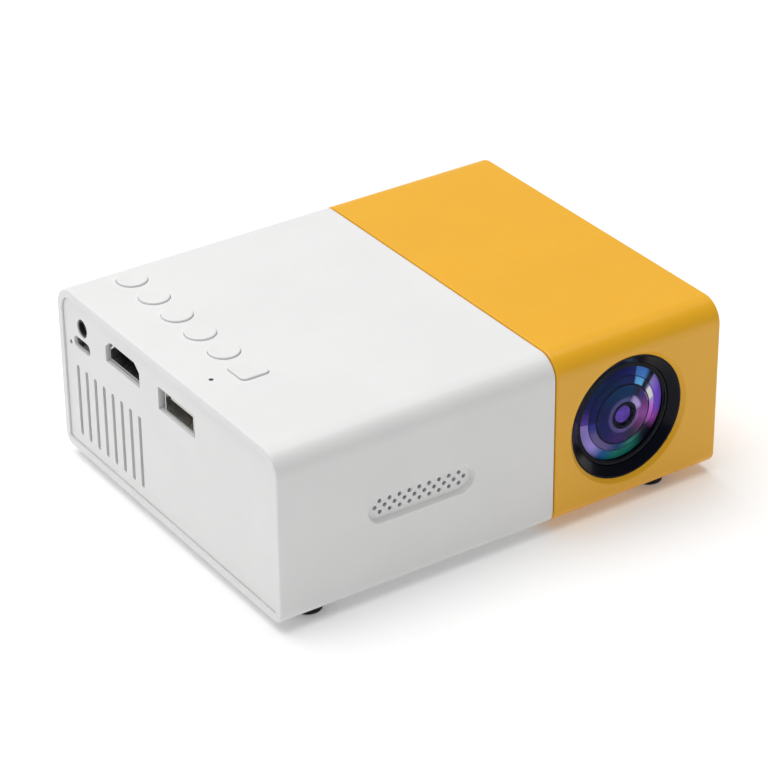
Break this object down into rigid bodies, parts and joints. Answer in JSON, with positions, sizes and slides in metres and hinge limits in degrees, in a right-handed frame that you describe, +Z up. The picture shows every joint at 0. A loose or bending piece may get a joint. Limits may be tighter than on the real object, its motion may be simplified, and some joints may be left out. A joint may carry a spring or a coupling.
{
  "type": "home projector",
  "caption": "Palm-size LED projector: white and amber sleeves, coated lens with a geared focus wheel, top buttons, end sockets, speaker and cooling fan.",
  "frame": {"origin": "on the surface the feet stand on, under the middle of the casing", "axes": "+X from the socket end to the focus end, +Y to the back (the lens looks along -Y), +Z up"},
  "size_m": [0.126, 0.101, 0.048],
  "materials": {
    "white_shell": "smooth moulded ABS, light gloss",
    "amber_shell": "smooth moulded ABS, light gloss",
    "button_white": "smooth moulded ABS",
    "black_plastic": "fine moulded texture",
    "black_gloss": "polished black",
    "grey_plastic": "moulded glass-filled plastic",
    "rubber": "soft matt rubber",
    "steel": "zinc-plated steel",
    "tin_plate": "stamped tin-plated shell",
    "brass": "turned brass",
    "board_green": "solder mask",
    "chip_black": "epoxy package",
    "capacitor_can": "sleeved aluminium can",
    "ivory_plastic": "nylon",
    "clear_plastic": "frosted acrylic",
    "coated_glass": "multi-coated glass, violet and blue",
    "clear_glass": "polished glass",
    "lcd_glass": "polarised LCD glass",
    "reflector": "bright aluminised plastic",
    "aluminium": "extruded, bead blasted",
    "led_white": "white solder mask on aluminium core",
    "phosphor": "phosphor-filled silicone",
    "ferrite": "ground ferrite",
    "cone_paper": "pressed paper pulp",
    "cloth": "woven dust cloth",
    "flex_amber": "polyimide film",
    "wire_red": "PVC",
    "wire_black": "PVC"
  },
  "bodies": {
    "casing": {"white_sleeve": "white_shell", "amber_sleeve": "amber_shell", "port_panel": "white_shell", "vent_panel": "amber_shell", "chassis": "grey_plastic", "rubber_feet": "rubber", "case_screws": "steel", "tripod_nut": "brass", "keypad_board": "board_green", "tact_switches": "steel", "top_light": "clear_plastic", "charge_light": "clear_plastic", "lens_bezel": "black_gloss", "focus_axle": "steel", "lens_holder": "black_plastic", "engine_housing": "black_plastic", "engine_cover": "black_plastic", "engine_screws": "steel", "front_fresnel": "clear_glass", "lcd_panel": "lcd_glass", "rear_fresnel": "clear_glass", "heat_glass": "clear_glass", "condenser_lens": "clear_glass", "led_reflector": "reflector", "led_board": "led_white", "led_emitter": "phosphor", "heat_sink": "aluminium", "fan_frame": "black_plastic", "mainboard": "board_green", "board_screws": "steel", "main_chip": "chip_black", "board_capacitors": "capacitor_can", "board_connectors": "ivory_plastic", "hdmi_shell": "tin_plate", "hdmi_insert": "black_plastic", "usb_shell": "tin_plate", "usb_insert": "ivory_plastic", "av_jack": "black_plastic", "power_inlet": "tin_plate", "speaker_basket": "steel", "speaker_cone": "cone_paper", "speaker_magnet": "ferrite", "grille_cloth": "cloth", "lcd_flex": "flex_amber", "fan_wires": "wire_red", "speaker_wires": "wire_black"},
    "focus_ring": {"focus_ring": "black_plastic"},
    "focus_wheel": {"focus_wheel": "black_plastic"},
    "lens_barrel": {"lens_barrel": "black_gloss", "front_lens": "coated_glass", "middle_lens": "coated_glass", "rear_lens": "coated_glass", "lens_retainer": "black_gloss"},
    "fan_rotor": {"fan_rotor": "black_plastic"},
    "up_button": {"up_button": "button_white"},
    "left_button": {"left_button": "button_white"},
    "ok_button": {"ok_button": "button_white"},
    "right_button": {"right_button": "button_white"},
    "down_button": {"down_button": "button_white"},
    "power_button": {"power_button": "button_white"}
  },
  "joints": [
    {"name": "up_press", "type": "slide", "parent": "casing", "child": "up_button", "axis": [0, 0, -1], "range_m": [0, 0.0004], "stiffness_N_per_m": 1500, "springref_m": -0.0004},
    {"name": "left_press", "type": "slide", "parent": "casing", "child": "left_button", "axis": [0, 0, -1], "range_m": [0, 0.0004], "stiffness_N_per_m": 1500, "springref_m": -0.0004},
    {"name": "ok_press", "type": "slide", "parent": "casing", "child": "ok_button", "axis": [0, 0, -1], "range_m": [0, 0.0004], "stiffness_N_per_m": 1500, "springref_m": -0.0004},
    {"name": "right_press", "type": "slide", "parent": "casing", "child": "right_button", "axis": [0, 0, -1], "range_m": [0, 0.0004], "stiffness_N_per_m": 1500, "springref_m": -0.0004},
    {"name": "down_press", "type": "slide", "parent": "casing", "child": "down_button", "axis": [0, 0, -1], "range_m": [0, 0.0004], "stiffness_N_per_m": 1500, "springref_m": -0.0004},
    {"name": "power_press", "type": "slide", "parent": "casing", "child": "power_button", "axis": [0, 0, -1], "range_m": [0, 0.0004], "stiffness_N_per_m": 1500, "springref_m": -0.0004},
    {"name": "focus_turn", "type": "hinge", "parent": "casing", "child": "focus_ring", "pos_m": [0.0359, -0.043, 0.0245], "axis": [0, 1, 0], "range_deg": [0, 100]},
    {"name": "focus_wheel_turn", "type": "hinge", "parent": "casing", "child": "focus_wheel", "pos_m": [0.0555, -0.043, 0.037], "axis": [0, 1, 0], "range_deg": [-250, 0]},
    {"name": "lens_slide", "type": "slide", "parent": "casing", "child": "lens_barrel", "axis": [0, 1, 0], "range_m": [0, 0.004]},
    {"name": "fan_spin", "type": "hinge", "parent": "casing", "child": "fan_rotor", "pos_m": [-0.0547, 0.02745, 0.0194], "axis": [1, 0, 0], "continuous": true}
  ],
  "couplings": [
    {"joint": "focus_wheel_turn", "follows": "focus_turn", "ratio": -2.4444},
    {"joint": "lens_slide", "follows": "focus_turn", "m_per_rad": 0.0022916}
  ]
}
